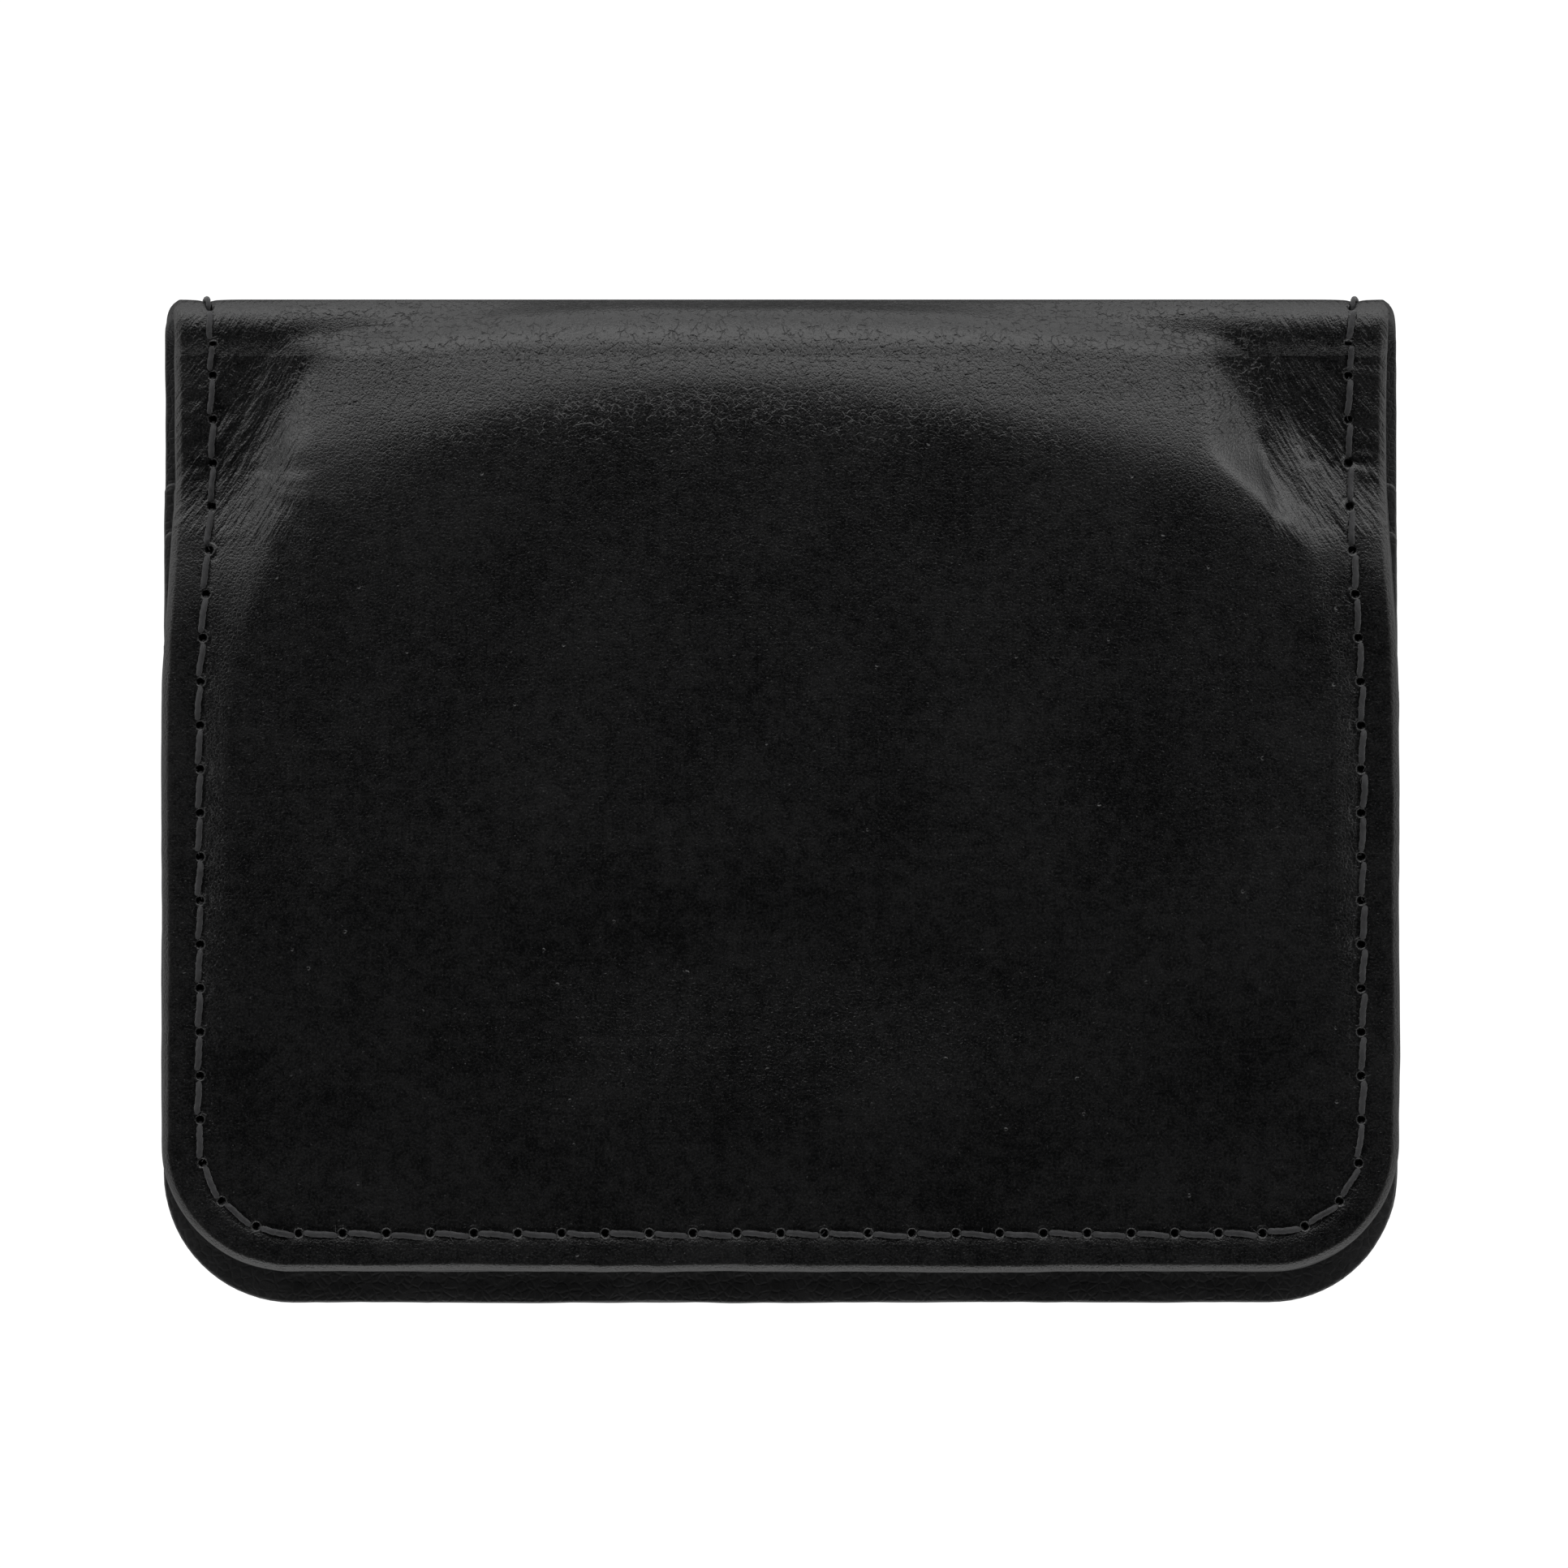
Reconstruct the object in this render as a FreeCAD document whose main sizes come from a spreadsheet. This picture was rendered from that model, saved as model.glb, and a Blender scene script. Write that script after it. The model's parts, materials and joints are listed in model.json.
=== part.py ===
"""A black leather bifold wallet, closed, lying on its back leaf with its fold towards +Y.

Two leaves of the same outline are joined by a short spine, and each is a stack of leathers: the
outer leather, a lining, a note pocket panel and three card slot panels. A lock-stitched seam runs
round each leaf and over the fold. The front leaf's note pocket stands open under a raised pillow
in its leather. The spine bends along two lines in the outer surface of the fold, so the leather is
three solids there: back leaf, spine and front leaf. Millimetres, origin under the middle.
"""

import FreeCAD, Part
import math
import os
import re

import Sketcher
from FreeCAD import Vector

DIMENSIONS = {
    "width": 110.0,  # along the fold
    "depth": 89.4,  # from the fold to the back leaf's free edge
    "front_inset": 2.9,  # how much shorter the front leaf is
    "corner_radius": 11.5,
    "leather": 1.2,  # outer leather's thickness
    "lining": 0.6,
    "pocket": 0.7,  # note pocket and card slot leather
    "leaf_gap": 1.0,  # air between the two leaves when closed
    "pillow_side": 7.0,  # from the side edge to the foot of the pillow
    "pillow_free": 5.5,  # from the free edge to the foot of the pillow
    "pillow_fold": 1.6,  # from the start of the fold to the foot of the pillow
    "pillow_corner": 6.0,
    "shoulder_height": 4.4,  # top of the pillow's steep walls
    "shoulder_lean": 2.6,  # how far in from its foot the shoulder is
    "crown_height": 5.8,  # top of the pillow
    "crown_lean": 13.0,
    "seam_inset": 3.3,  # from the edge to the line of stitches
    "stitch_pitch": 3.87,
    "stitch_length": 3.2,
    "stitch_width": 0.7,
    "stitch_depth": 0.4,  # outer stitches lie this deep in their groove
    "inner_stitch": 0.3,  # inner stitches stand this proud
    "groove_width": 1.3,  # wide enough for a straight stitch on the seam's round corners
    "bend_angle": 45.0,  # degrees round the fold, from each leaf to its bend line
    "bend_gap": 1.2,  # degrees cut back each side of a bend line
    "mouth": 16.3,  # from the fold to the note pocket's mouth
    "first_slot": 20.6,  # from the fold to the first card slot's mouth
    "slot_step": 9.5,
    "slot_depth": 45.0,
    "wing_height": 14.0,  # the full-width strip of a T-shaped slot panel
    "tail_inset": 8.0,  # from the side edge to the tail of a T-shaped slot panel
    "tail_seam": 2.2,  # from the tail's end to its row of stitches
    "turned_edge": 6.5,  # margin of a full pocket panel that is folded over on itself
    "fold_over_gap": 0.2,  # between a turned edge and the slot panel beside it
}

SLOTS = 3
STACK = f"(leather + lining + {SLOTS + 1} * pocket)"
FOLD_HEIGHT = f"(2 * {STACK} + leaf_gap)"
FOLD_RADIUS = f"({FOLD_HEIGHT} / 2)"
FOLD_Y = f"(depth / 2 - {FOLD_RADIUS})"
LEFT, RIGHT = "(-width / 2)", "(width / 2)"
SEAM_NEAR, SEAM_FAR = "(seam_inset - groove_width / 2)", "(seam_inset + groove_width / 2)"
SMALLEST_CUT = 1e-6  # mm3
PILLOW = [  # how far in, how high, and the corner radius there
    ("0", "0", "pillow_corner"),
    ("shoulder_lean", "shoulder_height", "(pillow_corner - shoulder_lean)"),
    ("crown_lean", "crown_height", "pillow_corner"),
]

doc = FreeCAD.newDocument("bifold_wallet")
sheet = doc.addObject("Spreadsheet::Sheet", "Sizes")
nodes = []


class Leaf:
    """One leaf of the wallet: its free edge, and how its layers are counted from the outside."""

    def __init__(self, name, free_edge):
        self.name = name
        self.free_edge = free_edge
        self.is_back = name == "back"

    def level(self, offset, thickness):
        """Height of the underside of a layer that starts offset below the leaf's outer face."""
        return offset if self.is_back else f"({FOLD_HEIGHT} - ({offset}) - ({thickness}))"


BACK = Leaf("back", "(-depth / 2)")
FRONT = Leaf("front", "(front_inset - depth / 2)")


def fill_sheet():
    for row, (alias, number) in enumerate(DIMENSIONS.items(), start=1):
        sheet.set(f"A{row}", alias)
        sheet.set(f"B{row}", str(number))
        sheet.setAlias(f"B{row}", alias)
    doc.recompute()


def bound(expression):
    """The expression with every alias written as a reference to the sheet."""
    return re.sub(
        r"[a-z]\w*",
        lambda word: f"Sizes.{word[0]}" if word[0] in DIMENSIONS else word[0],
        str(expression),
    )


def value(expression):
    return float(sheet.evalExpression(bound(expression)))


def bind(thing, path, expression):
    thing.setExpression(path, bound(expression))


# Sketches


def new_sketch(body, name, role, offsets):
    """A sketch on one of the body's origin planes, moved by the offsets given in its own axes."""
    sketch = body.newObject("Sketcher::SketchObject", name)
    plane = next(f for f in body.Origin.OriginFeatures if f.Role == role)
    sketch.AttachmentSupport = [(plane, "")]
    sketch.MapMode = "FlatFace"
    for axis, expression in offsets.items():
        bind(sketch, f"AttachmentOffset.Base.{axis}", expression)
    return sketch


def pin(sketch, kind, geometry, vertex, expression):
    """Dimensions one vertex from the sketch's origin, or an arc's radius, by an expression."""
    number = value(expression)
    if kind == "Radius":
        index = sketch.addConstraint(Sketcher.Constraint(kind, geometry, number))
    else:
        index = sketch.addConstraint(Sketcher.Constraint(kind, -1, 1, geometry, vertex, number))
    bind(sketch, f"Constraints[{index}]", expression)


def direction(start, end):
    return (end - start).normalize()


def rounded_corner(sketch, before, corner, after, radius):
    """Adds the arc of one corner, and returns it with the vertex numbers of its two ends."""
    reach = value(radius)
    entry = corner + direction(corner, before) * reach
    leave = corner + direction(corner, after) * reach
    centre = entry + leave - corner
    middle = centre + direction(centre, corner) * reach
    arc = sketch.addGeometry(Part.Arc(entry, middle, leave), False)
    starts_at_entry = sketch.getPoint(arc, 1).distanceToPoint(entry) < reach / 2
    pin(sketch, "Radius", arc, None, radius)
    return (arc, 1, 2) if starts_at_entry else (arc, 2, 1)


def trace(sketch, corners):
    """Draws a closed outline of horizontal and vertical lines, each bound to the sheet.

    corners is a list of (x, y) or (x, y, radius), as expressions.
    """
    points = [Vector(value(c[0]), value(c[1]), 0) for c in corners]
    radii = [c[2] if len(c) > 2 else None for c in corners]
    count = len(corners)
    arcs = {
        i: rounded_corner(sketch, points[i - 1], points[i], points[(i + 1) % count], radii[i])
        for i in range(count)
        if radii[i]
    }
    lines = []
    for i in range(count):
        j = (i + 1) % count
        along = direction(points[i], points[j])
        start = points[i] + along * (value(radii[i]) if radii[i] else 0)
        end = points[j] - along * (value(radii[j]) if radii[j] else 0)
        line = sketch.addGeometry(Part.LineSegment(start, end), False)
        is_level = abs(along.y) < abs(along.x)
        sketch.addConstraint(Sketcher.Constraint("Horizontal" if is_level else "Vertical", line))
        lines.append((line, is_level))
    for i in range(count):
        previous, following = lines[i - 1][0], lines[i][0]
        if i in arcs:
            arc, entry, leave = arcs[i]
            sketch.addConstraint(Sketcher.Constraint("Tangent", previous, 2, arc, entry))
            sketch.addConstraint(Sketcher.Constraint("Tangent", arc, leave, following, 1))
        else:
            sketch.addConstraint(Sketcher.Constraint("Coincident", previous, 2, following, 1))
    for i, (line, is_level) in enumerate(lines):
        pin(sketch, "DistanceY" if is_level else "DistanceX", line, 1, corners[i][1 if is_level else 0])


def rectangle(left, right, low, high, radius=None):
    ends = [(left, low), (right, low), (right, high), (left, high)]
    return [(x, y, radius) if radius else (x, y) for x, y in ends]


def leaf_outline(free_edge, fold_end, inset="0"):
    """A leaf's outline, rounded at its free edge and square at the fold, drawn inset."""
    radius = f"(corner_radius - ({inset}))"
    left, right, low = f"({LEFT} + {inset})", f"({RIGHT} - ({inset}))", f"({free_edge} + {inset})"
    return [(left, low, radius), (right, low, radius), (right, fold_end), (left, fold_end)]


def band_outline(leaf, top, near, far):
    """The U-shaped band between two insets, round a leaf's sides and free edge."""
    outside = leaf_outline(leaf.free_edge, top, near)
    inside = leaf_outline(leaf.free_edge, top, far)
    return [outside[3], *outside[:3], inside[2], inside[1], inside[0], inside[3]]


# Features


def new_body(label):
    body = doc.addObject("PartDesign::Body", label)
    body.Label = label
    nodes.append(body)
    return body


def pad(body, name, corners, height, thickness):
    """Pads an outline upwards from a height."""
    sketch = new_sketch(body, f"{name}_sketch", "XY_Plane", {"z": height})
    trace(sketch, corners)
    feature = body.newObject("PartDesign::Pad", name)
    feature.Profile = sketch
    bind(feature, "Length", thickness)
    doc.recompute()


def pocket(body, name, corners, height, depth, upwards):
    """Cuts an outline into the body from a height, upwards or downwards."""
    sketch = new_sketch(body, f"{name}_sketch", "XY_Plane", {"z": height})
    trace(sketch, corners)
    before = body.Shape.Volume
    feature = body.newObject("PartDesign::Pocket", name)
    feature.Profile = sketch
    feature.Reversed = upwards
    bind(feature, "Length", depth)
    doc.recompute()
    if not body.Shape.Volume < before - SMALLEST_CUT:
        raise RuntimeError(f"{body.Label}: pocket {name} cuts nothing")


def loft(body, kind, name, levels):
    """An additive or subtractive loft through level outlines, each given with its height."""
    sketches = []
    for number, (corners, height) in enumerate(levels):
        sketch = new_sketch(body, f"{name}_level_{number}", "XY_Plane", {"z": height})
        trace(sketch, corners)
        sketches.append(sketch)
    feature = body.newObject(f"PartDesign::{kind}", name)
    feature.Profile = sketches[0]
    feature.Sections = sketches[1:]
    feature.Ruled = True
    doc.recompute()


def turn(body, kind, name, part, sections):
    """Revolves sections about the fold's centre line, for the part of the fold named.

    Sections hold the left and right side and the inner and outer radius. The back leaf's stretch
    of the fold starts underneath, the front leaf's on top, and the spine is between them.
    """
    if part == "spine":
        sketch = new_sketch(body, f"{name}_sketch", "XY_Plane", {"y": FOLD_Y, "z": FOLD_RADIUS})
        side = ""
    else:
        offsets = {"y": FOLD_RADIUS, "z": f"(-{FOLD_Y})"}
        sketch = new_sketch(body, f"{name}_sketch", "XZ_Plane", offsets)
        side = "-" if part == "back" else ""
    for left, right, inner, outer in sections:
        low, high = (outer, inner) if side else (inner, outer)
        trace(sketch, rectangle(left, right, f"({side}{low})", f"({side}{high})"))
    feature = body.newObject(f"PartDesign::{kind}", name)
    feature.Profile = sketch
    feature.ReferenceAxis = (sketch, ["H_Axis"])
    if part == "spine":
        feature.Midplane = True
        bind(feature, "Angle", "180 - 2 * (bend_angle + bend_gap)")
    else:
        feature.Reversed = part == "front"
        bind(feature, "Angle", "bend_angle - bend_gap")
    doc.recompute()


def seam_rings():
    """The two grooves, left and right, that the seam needs where it goes over the fold."""
    inner, outer = f"({FOLD_RADIUS} - stitch_depth)", f"({FOLD_RADIUS} + stitch_depth)"
    return [
        (f"({LEFT} + {SEAM_NEAR})", f"({LEFT} + {SEAM_FAR})", inner, outer),
        (f"({RIGHT} - {SEAM_FAR})", f"({RIGHT} - {SEAM_NEAR})", inner, outer),
    ]


def fold_part(body, part, offset, thickness):
    """The stretch of one layer of the fold that belongs to a leaf or to the spine."""
    outer = f"({FOLD_RADIUS} - ({offset}))"
    inner = f"({FOLD_RADIUS} - ({offset}) - ({thickness}))"
    turn(body, "Revolution", "fold", part, [(LEFT, RIGHT, inner, outer)])


# Leathers


def pillow_levels(leaf, base):
    """The pillow's outline at its foot, shoulder and crown, standing on a height."""
    levels = []
    for lean, height, radius in PILLOW:
        corners = rectangle(
            f"({LEFT} + pillow_side + {lean})",
            f"({RIGHT} - pillow_side - {lean})",
            f"({leaf.free_edge} + pillow_free + {lean})",
            f"({FOLD_Y} - pillow_fold - {lean})",
            radius,
        )
        levels.append((corners, f"({base} + {height})"))
    return levels


def raise_pillow(body, leaf, bottom, thickness):
    """Lifts the middle of a layer into a pillow, hollow underneath."""
    loft(body, "AdditiveLoft", "pillow", pillow_levels(leaf, f"({bottom} + {thickness})"))
    loft(body, "SubtractiveLoft", "hollow", pillow_levels(leaf, bottom))


def layer(leaf, name, offset, thickness, with_fold_groove=False):
    """The outer leather or the lining of a leaf: a flat panel that runs into the fold."""
    body = new_body(f"{leaf.name}_{name}")
    bottom = leaf.level(offset, thickness)
    pad(body, "panel", leaf_outline(leaf.free_edge, FOLD_Y), bottom, thickness)
    fold_part(body, leaf.name, offset, thickness)
    if not leaf.is_back:
        raise_pillow(body, leaf, bottom, thickness)
    if with_fold_groove:
        face = "0" if leaf.is_back else FOLD_HEIGHT
        band = band_outline(leaf, FOLD_Y, SEAM_NEAR, SEAM_FAR)
        pocket(body, "seam_groove", band, face, "stitch_depth", leaf.is_back)
        turn(body, "Groove", "fold_groove", leaf.name, seam_rings())


def spine_layer(name, offset, thickness, with_fold_groove=False):
    body = new_body(f"spine_{name}")
    fold_part(body, "spine", offset, thickness)
    if with_fold_groove:
        turn(body, "Groove", "fold_groove", "spine", seam_rings())


def slot_mouth(number):
    return f"(depth / 2 - first_slot - {number - 1} * slot_step)"


def pocket_offset(number):
    """How far below the outer face the note pocket panel, 0, or a card slot panel starts."""
    return f"(leather + lining + {number} * pocket)"


def pocket_level(leaf, number):
    return leaf.level(pocket_offset(number), "pocket")


def full_panel(leaf, label, number, mouth, beside):
    """A pocket panel that reaches the free edge and is held in the leaf's own seam.

    Its margin is folded over on itself, on the side of the slot panels, up to the wings of the
    slot panel that is numbered beside.
    """
    body = new_body(label)
    pad(body, "panel", leaf_outline(leaf.free_edge, mouth), pocket_level(leaf, number), "pocket")
    top = f"({slot_mouth(beside)} - wing_height - fold_over_gap)"
    band = band_outline(leaf, top, "0", "turned_edge")
    pad(body, "turned_edge", band, pocket_level(leaf, beside), "pocket")


def tail_end(number):
    return f"({slot_mouth(number)} - slot_depth)"


def slot_panel(leaf, number):
    """A T-shaped card slot panel: its wings go into the side seams, its tail is stitched down."""
    body = new_body(f"{leaf.name}_card_slot_{number}")
    mouth, end = slot_mouth(number), tail_end(number)
    wing = f"({mouth} - wing_height)"
    left, right = f"({LEFT} + tail_inset)", f"({RIGHT} - tail_inset)"
    outline = [
        (left, end),
        (right, end),
        (right, wing),
        (RIGHT, wing),
        (RIGHT, mouth),
        (LEFT, mouth),
        (LEFT, wing),
        (left, wing),
    ]
    bottom = pocket_level(leaf, number)
    pad(body, "panel", outline, bottom, "pocket")
    row = f"({end} + tail_seam)"
    groove = rectangle(
        f"({left} + tail_seam)",
        f"({right} - tail_seam)",
        f"({row} - groove_width / 2)",
        f"({row} + groove_width / 2)",
    )
    face = f"({bottom} + pocket)" if leaf.is_back else bottom
    pocket(body, "row_groove", groove, face, "inner_stitch", not leaf.is_back)


# Threads: a group of separate stitches is one node


def stitch(start, end, height, thickness):
    """One flat-lying stitch with round ends, centred between two needle holes."""
    middle, along = (start + end) * 0.5, direction(start, end)
    half = min(value("stitch_length"), (end - start).Length) / 2
    radius = value("stitch_width") / 2
    across = Vector(-along.y, along.x, 0) * radius
    near, far = middle - along * (half - radius), middle + along * (half - radius)
    edges = [
        Part.LineSegment(near - across, far - across).toShape(),
        Part.Arc(far - across, far + along * radius, far + across).toShape(),
        Part.LineSegment(far + across, near + across).toShape(),
        Part.Arc(near + across, near - along * radius, near - across).toShape(),
    ]
    face = Part.Face(Part.Wire(edges))
    face.translate(Vector(0, 0, height))
    return face.extrude(Vector(0, 0, thickness))


def seam_path(leaf):
    """Needle holes along a leaf's seam: down one side, round the free edge and up the other."""
    inset = value("seam_inset")
    side, low, high = value(RIGHT) - inset, value(leaf.free_edge) + inset, value(FOLD_Y)
    radius = value("corner_radius") - inset
    straight, quarter = high - low - radius, radius * math.pi / 2
    bottom = 2 * (side - radius)
    total = 2 * straight + 2 * quarter + bottom

    def at(length):
        if length > total / 2:
            mirrored = at(total - length)
            return Vector(-mirrored.x, mirrored.y, 0)
        if length <= straight:
            return Vector(-side, high - length, 0)
        if length <= straight + quarter:
            angle = (length - straight) / radius
            return Vector(
                -side + radius - radius * math.cos(angle), low + radius - radius * math.sin(angle), 0
            )
        return Vector(-side + radius + length - straight - quarter, low, 0)

    count = round(total / value("stitch_pitch"))
    return [at(total * i / count) for i in range(count + 1)]


def cross_section(x, half, y, low, thickness):
    """The upright rectangle that a stitch over the fold is turned from."""
    ends = [(x - half, low), (x + half, low), (x + half, low + thickness), (x - half, low + thickness)]
    corners = [Vector(across, y, up) for across, up in ends]
    return Part.Face(Part.makePolygon([*corners, corners[0]]))


def fold_stitches(part, radius, thickness, per_side):
    """Stitches bent over the stretch of the fold that belongs to a leaf or to the spine."""
    bend, clear = value("bend_angle"), value("bend_gap")
    first, last = {
        "back": (0, bend - clear),
        "spine": (bend + clear, 180 - bend - clear),
        "front": (180 - bend + clear, 180),
    }[part]
    centre = Vector(0, value(FOLD_Y), value(FOLD_RADIUS))
    seam, half = value(RIGHT) - value("seam_inset"), value("stitch_width") / 2
    step = (last - first) / per_side
    sweep = step * value("stitch_length") / value("stitch_pitch")
    found = []
    for side in (-seam, seam):
        for number in range(per_side):
            bar = cross_section(side, half, centre.y, centre.z - radius, thickness)
            begin = first + step * number + (step - sweep) / 2
            bar.rotate(centre, Vector(1, 0, 0), begin)
            found.append(bar.revolve(centre, Vector(1, 0, 0), sweep))
    return found


def thread_node(label, solids):
    """One node of separate stitches."""
    node = doc.addObject("Part::Feature", label)
    node.Label = label
    node.Shape = Part.Compound(solids)
    nodes.append(node)


def outer_seam(leaf):
    thickness = value("stitch_depth")
    height = 0 if leaf.is_back else value(FOLD_HEIGHT) - thickness
    holes = seam_path(leaf)
    flat = [stitch(a, b, height, thickness) for a, b in zip(holes, holes[1:])]
    bent = fold_stitches(leaf.name, value(FOLD_RADIUS), thickness, 1)
    thread_node(f"{leaf.name}_outer_seam_thread", flat + bent)


def inner_height(leaf, lowest_y):
    """Inner face of the topmost layer that a stitch of the seam crosses."""
    mouths = [value("depth / 2 - mouth")] + [value(slot_mouth(n)) for n in range(1, SLOTS + 1)]
    panels = sum(lowest_y < mouth for mouth in mouths)
    depth = value(pocket_offset(panels))
    return depth if leaf.is_back else value(FOLD_HEIGHT) - depth - value("inner_stitch")


def inner_seam(leaf):
    holes = seam_path(leaf)
    thickness = value("inner_stitch")
    flat = [stitch(a, b, inner_height(leaf, min(a.y, b.y)), thickness) for a, b in zip(holes, holes[1:])]
    thread_node(f"{leaf.name}_inner_seam_thread", flat)


def spine_seam():
    outside = fold_stitches("spine", value(FOLD_RADIUS), value("stitch_depth"), 2)
    lining_face = value(f"{FOLD_RADIUS} - leather - lining")
    proud = value("inner_stitch")
    inside = fold_stitches("spine", lining_face, proud, 1)
    thread_node("spine_seam_thread", outside + inside)


def slot_row(leaf, number):
    """The row of stitches that closes the end of a card slot."""
    left, right = value(f"{LEFT} + tail_inset + tail_seam"), value(f"{RIGHT} - tail_inset - tail_seam")
    row = value(f"{tail_end(number)} + tail_seam")
    count = round((right - left) / value("stitch_pitch"))
    holes = [Vector(left + (right - left) * i / count, row, 0) for i in range(count + 1)]
    thickness = value("inner_stitch")
    bottom = value(pocket_level(leaf, number))
    height = bottom + value("pocket") - thickness if leaf.is_back else bottom
    solids = [stitch(a, b, height, thickness) for a, b in zip(holes, holes[1:])]
    thread_node(f"{leaf.name}_slot_{number}_thread", solids)


# The wallet


def build_leaf(leaf):
    layer(leaf, "outer_leather", "0", "leather", with_fold_groove=True)
    layer(leaf, "lining", "leather", "lining")
    full_panel(leaf, f"{leaf.name}_note_pocket", 0, "(depth / 2 - mouth)", beside=1)
    for number in range(1, SLOTS):
        slot_panel(leaf, number)
        slot_row(leaf, number)
    full_panel(leaf, f"{leaf.name}_card_slot_{SLOTS}", SLOTS, slot_mouth(SLOTS), beside=SLOTS - 1)
    outer_seam(leaf)
    inner_seam(leaf)


def build_spine():
    spine_layer("outer_leather", "0", "leather", with_fold_groove=True)
    spine_layer("lining", "leather", "lining")
    spine_seam()


def check():
    """Stops on a failed object, or on a node whose shape is missing or not valid."""
    for thing in doc.Objects:
        if "Invalid" in thing.State or "Error" in thing.State:
            raise RuntimeError(f"{thing.Label} failed: {thing.State}")
    for node in nodes:
        if node.Shape.isNull() or not node.Shape.isValid() or not node.Shape.Solids:
            raise RuntimeError(f"{node.Label} has no valid shape")


def export():
    os.makedirs("parts", exist_ok=True)
    for node in nodes:
        node.Shape.exportStep(f"parts/{node.Label}.step")
        print(f"{node.Label}: {len(node.Shape.Solids)} solids, {node.Shape.Volume:.1f} mm3")


def main():
    fill_sheet()
    build_leaf(BACK)
    build_spine()
    build_leaf(FRONT)
    doc.recompute()
    check()
    export()
    radius, bend = value(FOLD_RADIUS), math.radians(value("bend_angle"))
    reach, rise = radius * math.sin(bend), radius * (1 - math.cos(bend))
    print(f"bend lines at y {value(FOLD_Y) + reach:.4f}, z {rise:.4f} and {2 * radius - rise:.4f}")


main()
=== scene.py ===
"""Closed bifold wallet in black leather, seen from straight above.

Every sheet is built in the leaf's own flat coordinates, in millimetres: x across the wallet, q along the
outer face from the middle of the fold to the free edge, and d, the depth below that outer face.
"""

import json
import math

import bmesh
import bpy
import numpy as np
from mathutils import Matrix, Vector
from mathutils.geometry import delaunay_2d_cdt


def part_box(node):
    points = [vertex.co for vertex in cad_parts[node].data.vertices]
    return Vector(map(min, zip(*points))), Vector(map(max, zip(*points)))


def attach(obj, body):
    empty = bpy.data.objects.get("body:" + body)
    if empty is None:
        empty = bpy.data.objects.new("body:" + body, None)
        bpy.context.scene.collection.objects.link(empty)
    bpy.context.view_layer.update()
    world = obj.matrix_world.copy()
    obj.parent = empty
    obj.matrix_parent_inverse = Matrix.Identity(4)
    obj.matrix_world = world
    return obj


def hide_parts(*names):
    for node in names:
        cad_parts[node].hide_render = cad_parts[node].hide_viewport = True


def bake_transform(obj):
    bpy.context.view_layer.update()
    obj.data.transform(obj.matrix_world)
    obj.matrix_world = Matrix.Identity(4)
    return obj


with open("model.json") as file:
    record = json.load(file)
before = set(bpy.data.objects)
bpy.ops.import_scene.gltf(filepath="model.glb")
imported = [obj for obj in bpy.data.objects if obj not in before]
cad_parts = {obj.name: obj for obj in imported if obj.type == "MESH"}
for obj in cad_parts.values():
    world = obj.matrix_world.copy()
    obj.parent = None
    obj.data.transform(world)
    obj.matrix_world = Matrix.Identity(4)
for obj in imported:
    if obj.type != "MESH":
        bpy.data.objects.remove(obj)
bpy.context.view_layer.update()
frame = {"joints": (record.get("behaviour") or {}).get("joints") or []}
scene = bpy.context.scene

MM = 0.001
LEATHER, LINING, POCKET = 1.2, 0.6, 0.7  # thicknesses
LINING_GAP, GAP = 0.02, 0.03  # air over the lining, and over each pocket leather
CORNER = 11.5
SEAM = 3.3  # from the edge to the line of stitches
PITCH = 3.88  # of the stitches
TURNED = 6.5  # width of a panel's turned margin
WING_LAP = 4.5  # a slot panel's wings reach this far past the next panel's mouth
MARGIN_GAP = 0.2  # between those wings and the turned margin
TAIL_INSET = 8  # from the side edge to a slot panel's tail
HOLE_INSET = 0.12  # needle holes lie this far inside the line of stitches
JOIN_ROW = 0.04  # a row of points this close to the middle of the fold shades both halves alike there
FLOOR_GAP = 7  # the floor is this far below the wallet, clear of the front leaf's dome when open

# ---------------------------------------------------------------- frame

hinge = {j["name"]: np.array(j["pos_m"]) / MM for j in frame["joints"]}
low, high = hinge["spine_fold"], hinge["front_fold"]
FOLD_Z = (low[2] + high[2]) / 2
RADIUS = (high[2] - low[2]) / math.sqrt(2)
FOLD_Y = low[1] - RADIUS / math.sqrt(2)
ARC = RADIUS * math.pi / 2
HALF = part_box("back_outer_leather")[1].x / MM
FREE = {
    side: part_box(node)[0].y / MM
    for side, node in ((-1, "back_outer_leather"), (1, "front_outer_leather"))
}
NAMES = {-1: "back", 1: "front"}


def along(y):
    """Distance along the outer face from the middle of the fold to the place at that y."""
    return ARC + FOLD_Y - y


def mouth(node):
    """Where a pocket panel's mouth lies, as a distance along the leaf."""
    return along(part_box(node)[1].y / MM)


def place(x, q, d, side):
    """Millimetre points of a leaf: side is 1 for the front leaf and -1 for the back leaf."""
    turn = np.minimum(q, ARC) / RADIUS
    r = RADIUS - d
    y = FOLD_Y + r * np.cos(turn) - np.maximum(q - ARC, 0)
    z = FOLD_Z + side * r * np.sin(turn)
    return np.stack([x, y, z], -1)


# ---------------------------------------------------------------- small maths


def smooth(t):
    """A smooth step from 0 to 1 while t goes from 0 to 1."""
    t = np.clip(t, 0, 1)
    return t * t * (3 - 2 * t)


def soft_above(v, least, width):
    """v, rounded off so that it never falls below least."""
    t = np.clip((v - least) / width, -40, 40)
    return least + width * np.log1p(np.exp(t))


def bump(v, middle, width):
    """1 at the middle, falling off over width to both sides."""
    return np.exp(-(((v - middle) / width) ** 2))


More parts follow.
